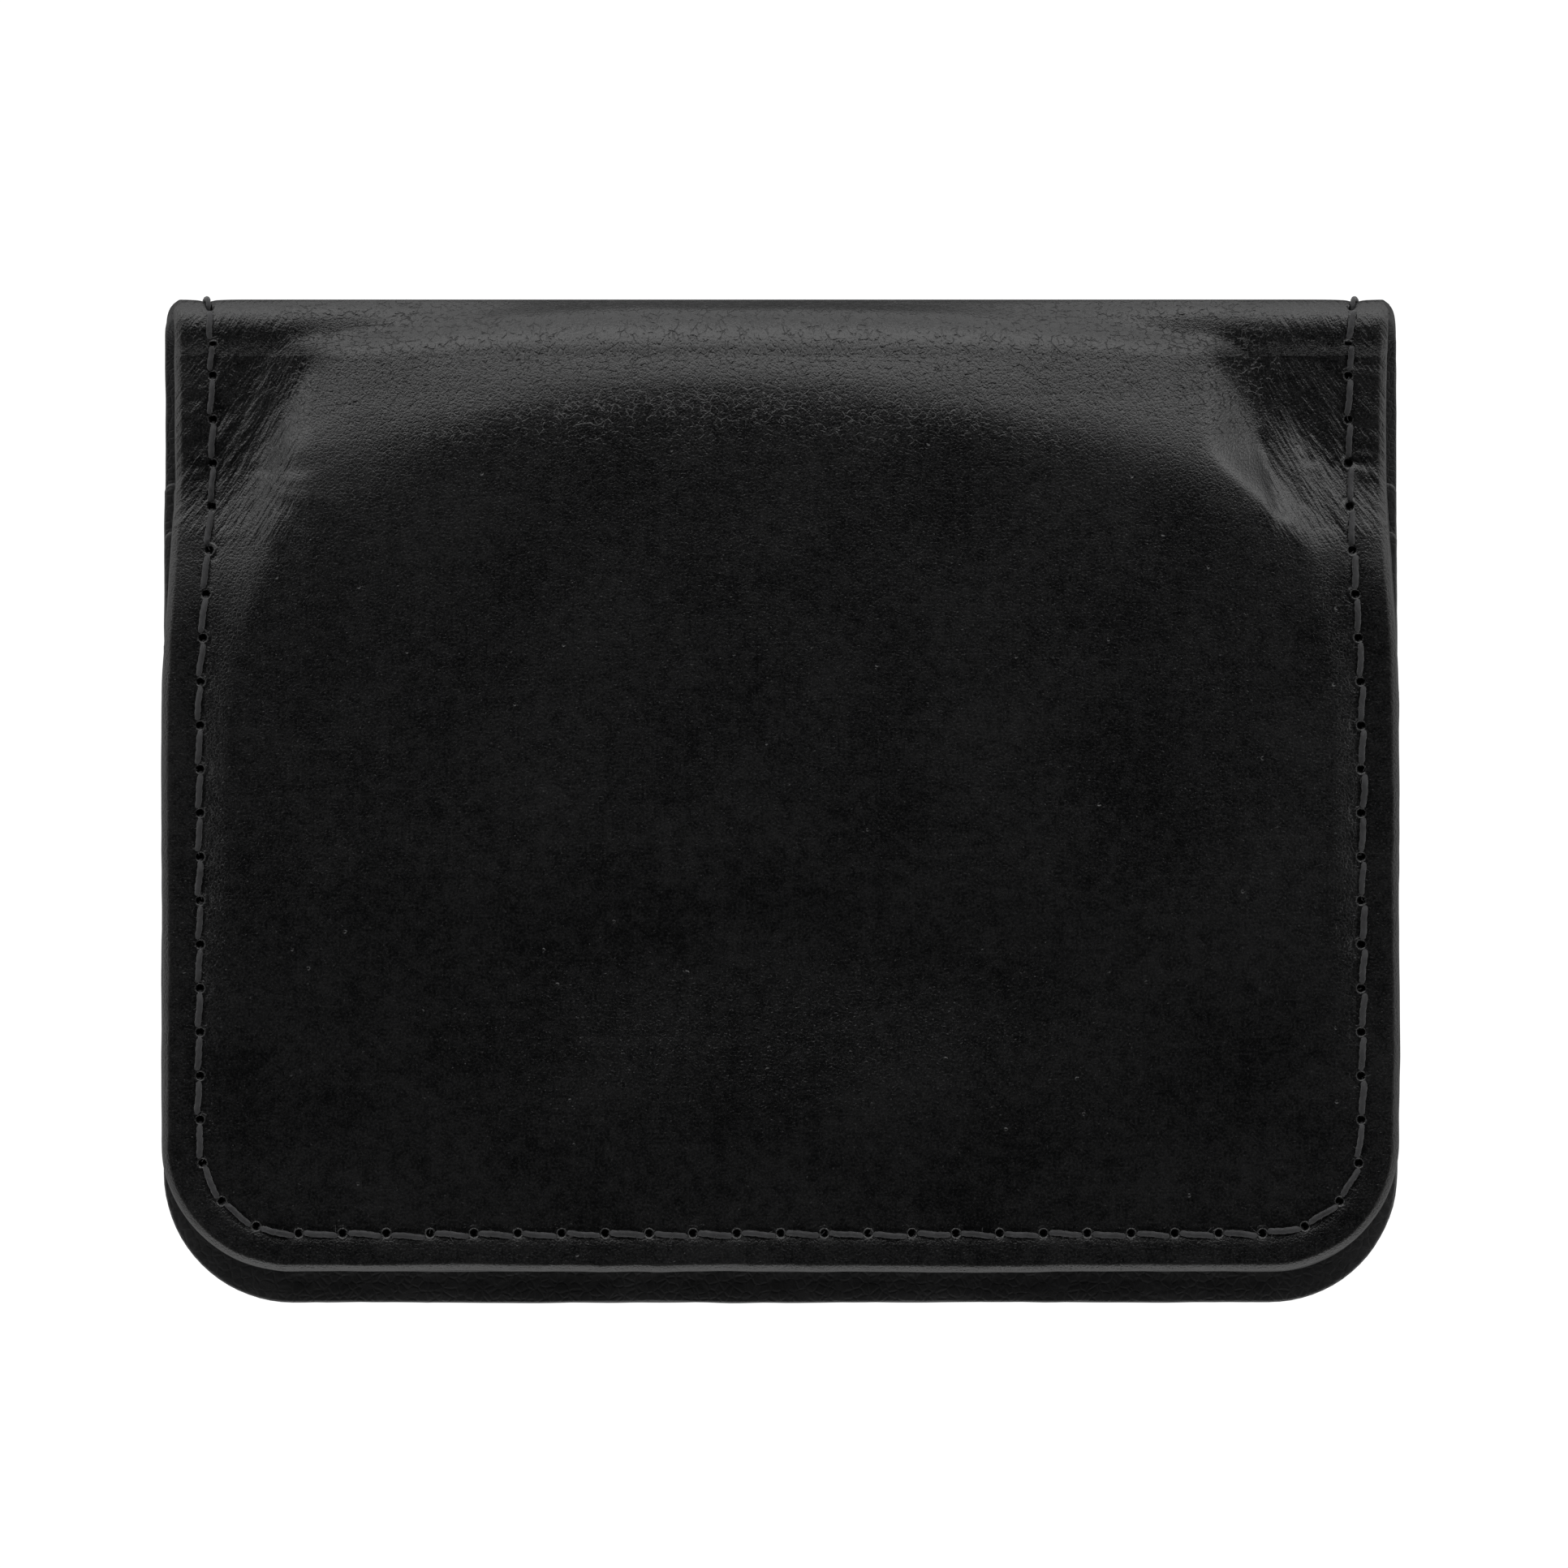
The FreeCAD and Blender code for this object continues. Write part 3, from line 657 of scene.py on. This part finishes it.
def outer_leather():
    """Smooth full-grain leather: pores, a fine net of creases, cloudy polish and worn edges."""
    f = Finish("outer_leather")
    clouds, patches = f.noise(13, 6, 0.65), f.noise(7, 4, 0.6)
    split = f.nodes.new("ShaderNodeSeparateXYZ")
    f.links.new(f.spot.outputs["Vector"], split.inputs["Vector"])
    by_fold = f.span(split.outputs["Y"], 8, 19, 1.0, 0.06)
    by_ends = f.span(f.math("ABSOLUTE", split.outputs["X"]), 41, 46, 1.0, 0.25)
    broken = f.span(f.noise(0.8, 3, 0.6), 0.42, 0.60)
    where = f.math("MULTIPLY", f.span(patches, 0.35, 0.60, 0.45, 1.0), f.math("MULTIPLY", by_fold, by_ends))
    where = f.math("MULTIPLY", where, broken)
    net = f.math("MULTIPLY", f.span(f.cells(0.70, "DISTANCE_TO_EDGE", 1.1), 0.0, 0.11, 1.0, 0.0), where)
    fine = f.span(f.cells(0.34, "DISTANCE_TO_EDGE", 0.7), 0.0, 0.22, 1.0, 0.0)
    pits = f.span(f.cells(0.48, "F1", 0.4), 0.05, 0.24, 1.0, 0.0)
    rare = f.span(f.cells(3.1, "F1", 0.2), 0.02, 0.07, 1.0, 0.0)
    grain = f.noise(0.22, 3, 0.7)
    in_pinch = f.span(split.outputs["Y"], 21, 29, 1.0, 0.0)
    pinched = f.math("MULTIPLY", f.math("SUBTRACT", 1.25, by_ends), in_pinch)
    pleats = f.math("MULTIPLY", f.pleats(0.45, 2.4, -0.59), f.span(pinched, 0.3, 0.9, 0.0, 1.0))
    swell = f.noise(0.7, 3, 0.6)
    long_marks = f.span(f.noise(0.9, 4, 0.7, (0.10, 1.0, 1.0), 0.5), 0.58, 0.68)
    wear = f.math("MULTIPLY", f.worn.outputs["Fac"], f.span(f.noise(1.1, 4, 0.65), 0.3, 0.7, 0.4, 1.0))
    tone = f.add(
        f.math("MULTIPLY", clouds, 0.25),
        f.math("MULTIPLY", f.noise(1.2, 4, 0.7), 0.30),
        f.math("MULTIPLY", grain, 0.45),
    )
    shade = f.colour(f.span(tone, 0.40, 0.60), (0.0020, 0.0021, 0.0023), (0.0142, 0.0142, 0.0145))
    edge = f.nodes.new("ShaderNodeMix")
    edge.data_type = "RGBA"
    f.put(edge.inputs["Factor"], f.math("MULTIPLY", wear, 0.8))
    f.links.new(shade, edge.inputs[6])
    edge.inputs[7].default_value = (0.018, 0.0175, 0.0172, 1)
    height = f.add(
        f.math("MULTIPLY", net, -1.9),
        f.math("MULTIPLY", fine, -0.28),
        f.math("MULTIPLY", pits, -0.38),
        f.math("MULTIPLY", rare, -1.3),
        f.math("MULTIPLY", grain, 0.65),
        f.math("MULTIPLY", swell, 0.45),
        f.math("MULTIPLY", pleats, 5.0),
        f.math("MULTIPLY", long_marks, -0.08),
    )
    f.relief(height, 0.040)
    rough = f.add(
        f.span(clouds, 0.35, 0.65, 0.215, 0.235),
        f.math("MULTIPLY", wear, 0.14),
        f.math("MULTIPLY", long_marks, 0.03),
        f.math("MULTIPLY", net, 0.17),
        f.math("MULTIPLY", pits, 0.06),
        f.span(grain, 0.40, 0.75, 0.0, 0.09),
    )
    return f.set(Base_Color=edge.outputs[2], Roughness=rough, IOR=1.47)


def thin_leather(name, low, high, rough, pebble, depth):
    """Lining and pocket leather, with an even printed grain."""
    f = Finish(name)
    cells = f.cells(pebble, "DISTANCE_TO_EDGE", 0.4)
    groove = f.span(cells, 0.0, 0.22, 1.0, 0.0)
    clouds = f.noise(10, 4, 0.6)
    wear = f.math("MULTIPLY", f.worn.outputs["Fac"], f.span(f.noise(0.9, 4, 0.65), 0.3, 0.7, 0.3, 1.0))
    height = f.add(
        f.math("MULTIPLY", groove, -0.8),
        f.math("MULTIPLY", f.noise(0.14, 2, 0.6), 0.4),
        f.math("MULTIPLY", f.noise(1.6, 3, 0.6), 0.5),
    )
    f.relief(height, depth)
    tone = f.add(f.math("MULTIPLY", clouds, 0.7), f.math("MULTIPLY", wear, 0.35))
    shade = f.colour(f.span(tone, 0.25, 0.8), low, high)
    roughness = f.add(f.span(clouds, 0.35, 0.65, rough, rough + 0.07), f.math("MULTIPLY", groove, 0.08))
    return f.set(Base_Color=shade, Roughness=roughness, IOR=1.46)


def thread_finish():
    """Waxed thread: fine fibres along the plies, a little sheen."""
    f = Finish("thread")
    fibres = f.noise(0.09, 3, 0.7)
    lumps = f.noise(0.6, 2, 0.5)
    f.relief(f.add(fibres, f.math("MULTIPLY", lumps, 0.6)), 0.03)
    shade = f.colour(f.span(f.noise(1.4, 4, 0.6), 0.3, 0.7), (0.016, 0.016, 0.017), (0.034, 0.034, 0.036))
    f.shader.inputs["Sheen Weight"].default_value = 0.25
    f.shader.inputs["Sheen Roughness"].default_value = 0.45
    return f.set(Base_Color=shade, Roughness=f.span(fibres, 0.3, 0.7, 0.62, 0.8), IOR=1.45)


MATERIAL = {
    "outer_leather": outer_leather(),
    "lining_leather": thin_leather(
        "lining_leather", (0.009, 0.009, 0.0095), (0.017, 0.017, 0.0175),
        rough=0.56, pebble=0.55, depth=0.035,
    ),
    "pocket_leather": thin_leather(
        "pocket_leather", (0.0150, 0.0150, 0.0155), (0.0300, 0.0300, 0.0306),
        rough=0.46, pebble=0.8, depth=0.03,
    ),
    "thread": thread_finish(),
}

# ---------------------------------------------------------------- leather pieces


def bend(piece, side):
    """Bakes a piece's transform into its mesh, on either leaf."""
    if side < 0:
        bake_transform(piece)
    else:
        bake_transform(piece)


def corner_mark(seam, x, q):
    """The faint line that a creasing tool left inside the seam at the two corners."""
    line = bump(seam.away(x, q), -2.7 + 0.2 * noise(x / 5, q / 5, 33), 0.2)
    return -0.07 * line * smooth((q - seam.b + 7) / 3) * smooth((np.abs(x) - 32) / 6)


def leather(side):
    """One half of the outer leather: a leaf and its half of the fold."""
    name, seam = NAMES[side], SEAMS[side]

    def face(x, q):
        h = seam.groove(x, q, 0.17, 0.65)
        h += corner_mark(seam, x, q)
        rough = unevenness(x, side * q)
        if side > 0:
            calm = smooth(q / 6)
            return h + dome(x, q) + calm * (wrinkles(x, q) + 0.8 * rough) + (1 - calm) * 0.05 * rough
        return h - smooth(q / 6) * 0.04 * (1 + rough)

    def back(x, q):
        return dome(x, q) if side > 0 else np.zeros_like(x)

    def off_seam(x, q):
        return np.abs(seam.away(x, q)) > 1.7

    shape = Shape(side)
    add_sheet(
        shape, leaf_corners(side), False, (0, LEATHER),
        (0.5 if side > 0 else 0.75, face, seam.fine_points(), off_seam), (2.0, back),
        lip=(0.75, 0.5), step=0.5, seed=41 if side > 0 else 47,
    )  # fmt: skip
    nodes = [f"{name}_outer_leather"] + (["spine_outer_leather"] if side > 0 else [])
    bend(shape.build(f"outer_leather_{name}", MATERIAL["outer_leather"], nodes), side)


def lining(side):
    """One half of the lining, under the outer leather."""
    name = NAMES[side]

    def follow(x, q):
        return dome(x, q) if side > 0 else np.zeros_like(x)

    shape = Shape(side)
    add_sheet(
        shape, leaf_corners(side), False, (LEATHER + LINING_GAP, LEATHER + LINING),
        (2.0, follow), (1.1, follow), lip=(0.15, 0.2), step=1.0, seed=51,
    )  # fmt: skip
    nodes = [f"{name}_lining"] + (["spine_lining"] if side > 0 else [])
    bend(shape.build(f"lining_{name}", MATERIAL["lining_leather"], nodes), side)


def panel_face(side, top, seed):
    """Inner face of a pocket panel: a creased line below its mouth and slight waviness."""

    def face(x, q):
        line = 0.13 * bump(q, top + 2.0, 0.28) * smooth((HALF - 1.5 - np.abs(x)) / 1.5)
        lip = 0.05 * bump(q, top + 0.9, 0.6)
        waves = 0.05 * noise(x / 14, q / 14, seed) + 0.02 * noise(x / 4, q / 4, seed + 1)
        print_marks = 0
        if side < 0:
            end = along(FREE[side])
            beat = 0.5 + 0.5 * np.cos(2 * math.pi * x / PITCH)
            print_marks = 0.10 * beat * bump(q, end - 2.1, 0.5) * smooth((46 - np.abs(x)) / 3)
        return sunk(x, q, side) + line - lip + np.maximum(waves, -0.03) + print_marks

    return face


def panels(side):
    """The note pocket and card slot panels of a leaf, from the lining inwards."""
    name = NAMES[side]
    level = LEATHER + LINING

    def flat(x, q):
        return sunk(x, q, side)

    def panel(title, corners, top, deep, seed):
        rows = top + np.array([0.5, 0.9, 1.3, 1.65, 1.85, 2.0, 2.15, 2.35, 2.7])
        if side < 0:
            rows = np.concatenate([rows, along(FREE[side]) - np.array([2.8, 2.45, 2.1, 1.75, 1.4])])
        x = np.arange(-HALF + 0.8, HALF - 0.5, 0.7)
        extra = np.stack(np.meshgrid(x, rows), -1).reshape(-1, 2)

        def off_rows(x, q):
            return np.abs(q[:, None] - rows).min(1) > 0.35

        shape = Shape(side)
        add_sheet(
            shape, corners, True, (deep + GAP, deep + POCKET), (2.5, flat),
            (1.2, panel_face(side, top, seed), extra, off_rows),
            lip=(0.25, 0.3), step=1.0, seed=seed,
        )  # fmt: skip
        nodes = [f"{name}_{title}"]
        piece = shape.build(f"{title}_{name}", MATERIAL["pocket_leather"], nodes)
        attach(piece, f"{name}_leaf")

    tops = {k: mouth(f"{name}_card_slot_{k}") for k in (1, 2, 3)}
    note = mouth(f"{name}_note_pocket")
    tails = {k: along(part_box(f"{name}_card_slot_{k}")[0].y / MM) for k in (1, 2)}
    wing = tops[2] - tops[1] + WING_LAP
    panel("note_pocket", panel_corners(side, note), note, level, 61)
    margin(side, f"note_margin_{name}", tops[1] + wing + MARGIN_GAP, level + POCKET)
    for k in (1, 2):
        corners = slot_corners(tops[k], tops[k] + wing, tails[k], HALF - TAIL_INSET)
        panel(f"card_slot_{k}", corners, tops[k], level + k * POCKET, 61 + 2 * k)
    panel("card_slot_3", panel_corners(side, tops[3]), tops[3], level + 3 * POCKET, 67)
    margin(side, f"slot_margin_{name}", tops[2] + wing + MARGIN_GAP, level + 2 * POCKET)


def margin(side, title, top, deep):
    """The turned margin of a panel, folded under its three sewn sides."""
    shape = Shape(side)

    def flat(x, q):
        return sunk(x, q, side)

    add_sheet(
        shape, turned_corners(side, top), True, (deep + GAP, deep + POCKET),
        (2.5, flat), (2.5, flat), lip=(0.25, 0.3), step=1.0, seed=71,
    )  # fmt: skip
    piece = shape.build(title, MATERIAL["pocket_leather"], [])
    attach(piece, f"{NAMES[side]}_leaf")


# ---------------------------------------------------------------- thread

STITCH_DEPTH = 0.26  # of the seam's groove, where the stitches lie


def stitch_ends(seam):
    """The needle holes at the two ends of each stitch of a seam."""
    x, q, _, _ = seam.at(seam.holes)
    holes = list(zip(x.tolist(), q.tolist()))
    return list(zip(holes, holes[1:]))


def join_rings(shape, rings):
    """Adds the faces between closed rings of vertices, each joined to the next."""
    for a, b in zip(rings, rings[1:]):
        for k in range(len(a)):
            m = (k + 1) % len(a)
            shape.faces.append((a[k], a[m], b[m], b[k]))


def tube(shape, line, half_width, half_height, normal, sides=16, twist=2.1, phase=0.0, ply=0.16):
    """Adds a closed twisted tube along line, rows of (x, q, d), its width along normal in the flat."""
    n = len(line)
    steps = np.concatenate([[0], np.cumsum(np.linalg.norm(np.diff(line, axis=0), axis=1))])
    turn = np.linspace(0, 2 * math.pi, sides, endpoint=False)
    rings = []
    for k in range(n):
        taper = 1 - 0.45 * abs(2 * k / (n - 1) - 1) ** 6
        lobes = 1 - ply + ply * np.abs(np.cos(1.5 * (turn - 2 * math.pi * steps[k] / twist + phase)))
        across = half_width * taper * lobes * np.cos(turn)
        lift = half_height * taper * lobes * np.sin(turn)
        x = line[k, 0] + across * normal[0]
        q = line[k, 1] + across * normal[1]
        rings.append(shape.add(x, q, np.full_like(x, line[k, 2]), lift))
    join_rings(shape, rings)
    for ring, k in ((rings[0], 0), (rings[-1], -1)):
        tip = shape.add(*line[[k]].T, np.zeros(1))[0]
        for i in range(sides):
            shape.faces.append((ring[i], ring[(i + 1) % sides], tip))


def hair(shape, start, way, length, curl):
    """Adds one loose fibre: a hair-thin closed tube."""
    t = np.linspace(0, 1, 7)
    turn = way + curl * t
    x = start[0] + length * np.cumsum(np.cos(turn)) / 7
    q = start[1] + length * np.cumsum(np.sin(turn)) / 7
    d = start[2] - length * 0.25 * np.sin(t * math.pi) - 0.05
    normal = (-math.sin(way), math.cos(way))
    tube(shape, np.stack([x, q, d], -1), 0.022, 0.022, normal, sides=5, twist=9, ply=0)


def along_stitch(count):
    """Places from 0 to 1 along a stitch, and its rise there: 0 in its two holes and 1 between them."""
    t = np.linspace(0, 1, count)
    return t, 1 - np.abs(2 * t - 1) ** 5


def stitch_row(shape, ends, depth_at, lift, size, rng):
    """Adds one stitch between each pair of ends: out of one hole, along the leather and into the next."""
    t, rise = along_stitch(20)
    for (x0, q0), (x1, q1) in ends:
        way = np.array([x1 - x0, q1 - q0])
        normal = np.array([-way[1], way[0]]) / np.linalg.norm(way)
        tilt = 0.3 * (0.8 + 0.4 * rng.random())
        off = tilt * (t - 0.5) + 0.05 * rng.standard_normal() + 0.03 * np.sin(t * 9 + rng.random() * 6)
        fat = size * (0.93 + 0.14 * rng.random())
        reach = 0.04 + 0.92 * t
        x = x0 + way[0] * reach + normal[0] * off
        q = q0 + way[1] * reach + normal[1] * off
        base = depth_at(x, np.abs(q))
        d = base - (lift + 0.04 * rng.standard_normal()) * rise + 0.55 * (1 - rise)
        twist, phase = 2.0 + 0.5 * rng.random(), 6 * rng.random()
        tube(shape, np.stack([x, q, d], -1), fat, 0.8 * fat, normal, twist=twist, phase=phase)


def seam_thread(side):
    """The seam's outer stitches. The front leaf's thread has the two that cross the middle of the fold."""
    name, seam = NAMES[side], SEAMS[side]
    rng = np.random.default_rng(5 + side)

    def depth_at(x, q):
        if side < 0:
            return np.full_like(x, STITCH_DEPTH)
        return STITCH_DEPTH - (dome(x, q) + smooth(q / 6) * (wrinkles(x, q) + 0.8 * unevenness(x, q)))

    ends = stitch_ends(seam)
    shape = Shape(side)
    stitch_row(shape, ends, depth_at, 0.18, 0.28, rng)
    if side > 0:
        first, last = SEAMS[-1].at(SEAMS[-1].holes[[0, -1]])[:2], seam.at(seam.holes[[0, -1]])[:2]
        crossing = [((first[0][k], -first[1][k]), (last[0][k], last[1][k])) for k in (0, 1)]
        cross_fold(shape, crossing)
        for (ax, aq), (bx, bq) in ends:
            for _ in range(2):
                t = rng.random()
                sx, sq = ax + (bx - ax) * t, aq + (bq - aq) * t
                d = float(depth_at(np.array([sx]), np.array([sq]))[0]) - 0.42
                way, length = rng.random() * 6.3, 0.35 + 0.55 * rng.random()
                hair(shape, (sx, sq, d), way, length, rng.uniform(-1.5, 1.5))
        wisp = along(-9.4)
        hair(shape, (-51.9, wisp, -0.15), 2.6, 1.9, -3.2)
    nodes = [f"{name}_outer_seam_thread"] + (["spine_seam_thread"] if side > 0 else [])
    bend(shape.build(f"seam_thread_{name}", MATERIAL["thread"], nodes), side)


def cross_fold(shape, crossing):
    """Adds the stitches that lie across the middle of the fold, a little proud of it.

    Each runs from v to v, where v is q on the front leaf's half of the fold and -q on the back leaf's.
    """
    t, rise = along_stitch(22)
    turn = np.linspace(0, 2 * math.pi, 16, endpoint=False)
    for (x0, v0), (x1, v1) in crossing:
        rings = []
        for k, u in enumerate(t):
            lobes = 0.84 + 0.16 * np.abs(np.cos(1.5 * (turn - 2 * math.pi * u * 1.8)))
            taper = 1 - 0.45 * abs(2 * u - 1) ** 6
            across = 0.28 * taper * lobes * np.cos(turn)
            up = 0.24 * taper * lobes * np.sin(turn)
            x = x0 + (x1 - x0) * u + across
            v = v0 + (v1 - v0) * u
            depth = STITCH_DEPTH - 0.33 * rise[k] + 0.55 * (1 - rise[k]) - up
            rings.append(shape.add(x, np.full_like(x, v), np.zeros_like(x), -depth))
        join_rings(shape, rings)
        shape.faces.append(tuple(rings[0]))
        shape.faces.append(tuple(rings[-1]))


def inner_seam_thread(side):
    """The seam's stitches on the inner faces, from the lining down over the pocket mouths."""
    name, seam = NAMES[side], SEAMS[side]
    rng = np.random.default_rng(15 + side)
    level = LEATHER + LINING
    mouths = [mouth(f"{name}_note_pocket")] + [mouth(f"{name}_card_slot_{k}") for k in (1, 2, 3)]

    def depth_at(x, q):
        d = np.full_like(x, level)
        for top in mouths:
            d = d + POCKET * smooth((q - top + 0.3) / 0.6)
        return d - sunk(x, q, side)

    shape = Shape(side)
    t, rise = along_stitch(14)
    reach = 0.05 + 0.9 * t
    for (x0, q0), (x1, q1) in stitch_ends(seam):
        way = np.array([x1 - x0, q1 - q0])
        normal = np.array([-way[1], way[0]]) / np.linalg.norm(way)
        off = 0.22 * (t - 0.5) + 0.03 * rng.standard_normal()
        x = x0 + way[0] * reach + normal[0] * off
        q = q0 + way[1] * reach + normal[1] * off
        d = depth_at(x, q) + 0.08 * rise - 0.4 * (1 - rise)
        tube(shape, np.stack([x, q, d], -1), 0.29, 0.2, normal, 12, 2.2, 6 * rng.random())
    nodes = [f"{name}_inner_seam_thread"]
    bend(shape.build(f"inner_seam_thread_{name}", MATERIAL["thread"], nodes), side)


def slot_thread(side, k):
    """The row of stitches that closes the end of a T-shaped slot panel."""
    name = NAMES[side]
    node = f"{name}_slot_{k}_thread"
    lo, hi = (np.array(c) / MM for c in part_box(node))
    rng = np.random.default_rng(25 + side + 3 * k)
    q = along((lo[1] + hi[1]) / 2)
    count = round((hi[0] - lo[0]) / PITCH)
    x = np.linspace(lo[0] - 0.2, hi[0] + 0.2, count + 1)
    deep = LEATHER + LINING + (k + 1) * POCKET - 0.02
    shape = Shape(side)
    t, rise = along_stitch(12)
    for a, b in zip(x, x[1:]):
        row = a + (b - a) * (0.06 + 0.88 * t)
        line = np.stack([row, np.full_like(t, q), deep - 0.2 - 0.3 * (1 - rise)], -1)
        tube(shape, line, 0.29, 0.2, (0, 1), 10, 2.2, 6 * rng.random())
    piece = shape.build(f"slot_thread_{k}_{name}", MATERIAL["thread"], [node])
    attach(piece, f"{name}_leaf")


for leaf in (-1, 1):
    leather(leaf)
    lining(leaf)
    panels(leaf)
    seam_thread(leaf)
    inner_seam_thread(leaf)
    for row in (1, 2):
        slot_thread(leaf, row)

# ---------------------------------------------------------------- floor, light and camera


def floor():
    """A plain pale floor that gloss doesn't reflect."""
    size = 6.0
    mesh = bpy.data.meshes.new("floor")
    rim = [(-size, -size, 0), (size, -size, 0), (size, size, 0), (-size, size, 0)]
    mesh.from_pydata(rim, [], [(0, 1, 2, 3)])
    material = bpy.data.materials.new("floor")
    material.use_nodes = True
    shader = material.node_tree.nodes["Principled BSDF"]
    shader.inputs["Base Color"].default_value = (0.15, 0.15, 0.15, 1)
    shader.inputs["Roughness"].default_value = 0.9
    shader.inputs["Specular IOR Level"].default_value = 0.1
    shader.inputs["Emission Color"].default_value = (1, 1, 1, 1)
    shader.inputs["Emission Strength"].default_value = 1.0
    mesh.materials.append(material)
    plane = bpy.data.objects.new("floor", mesh)
    plane.location.z = -FLOOR_GAP * MM
    plane.visible_glossy = False
    scene.collection.objects.link(plane)


def softbox(name, azimuth, elevation, distance, width, height, radiance):
    """A rectangular light that faces the wallet. Azimuth 0 is beyond the fold."""
    data = bpy.data.lights.new(name, "AREA")
    data.shape = "RECTANGLE"
    data.size, data.size_y = width, height
    data.energy = radiance * 4 * width * height
    lamp = bpy.data.objects.new(name, data)
    a, e = math.radians(azimuth), math.radians(elevation)
    way = Vector((math.sin(a) * math.cos(e), math.cos(a) * math.cos(e), math.sin(e)))
    lamp.location = way * distance
    lamp.rotation_mode = "QUATERNION"
    lamp.rotation_quaternion = way.to_track_quat("Z", "Y")
    lamp.visible_camera = False
    scene.collection.objects.link(lamp)


def sky():
    """Pale near the horizon, dark overhead and straight below."""
    world = bpy.data.worlds.new("studio")
    world.use_nodes = True
    scene.world = world
    nodes, links = world.node_tree.nodes, world.node_tree.links
    spot = nodes.new("ShaderNodeTexCoord")
    split = nodes.new("ShaderNodeSeparateXYZ")
    links.new(spot.outputs["Generated"], split.inputs[0])
    product = nodes.new("ShaderNodeMath")
    product.operation = "MULTIPLY"
    for k, numbers in enumerate(((0.28, 0.50, 1.35, 0.015), (-0.85, -0.35, 0.07, 1.0))):
        ramp = nodes.new("ShaderNodeMapRange")
        ramp.interpolation_type = "SMOOTHSTEP"
        for name, value in zip(("From Min", "From Max", "To Min", "To Max"), numbers):
            ramp.inputs[name].default_value = value
        links.new(split.outputs["Z"], ramp.inputs["Value"])
        links.new(ramp.outputs["Result"], product.inputs[k])
    links.new(product.outputs[0], nodes["Background"].inputs["Strength"])
    nodes["Background"].inputs["Color"].default_value = (1, 1, 1, 1)


def camera():
    """Looks straight down from far away, as the photo does."""
    data = bpy.data.cameras.new("camera")
    data.lens, data.sensor_width = 400, 36
    shown = HALF * 2 * 1.2717 * MM  # width of the picture, at the height of level
    level = 0.0035
    distance = shown / 2 / math.tan(math.atan(data.sensor_width / 2 / data.lens))
    data.clip_start, data.clip_end = 0.05, 20
    eye = bpy.data.objects.new("camera", data)
    eye.location = (0.0003, 0.00152, level + distance)
    scene.collection.objects.link(eye)
    scene.camera = eye


floor()
softbox("softbox_fold", 0, 38.5, 1.3, 3.4, 0.90, 0.91)
softbox("softbox_low", 0, 25, 1.2, 3.2, 0.66, 1.15)
softbox("fill_front", 180, 19, 1.5, 2.6, 0.52, 1.4)
sky()
camera()
scene.view_settings.view_transform = "Standard"
scene.view_settings.look = "None"
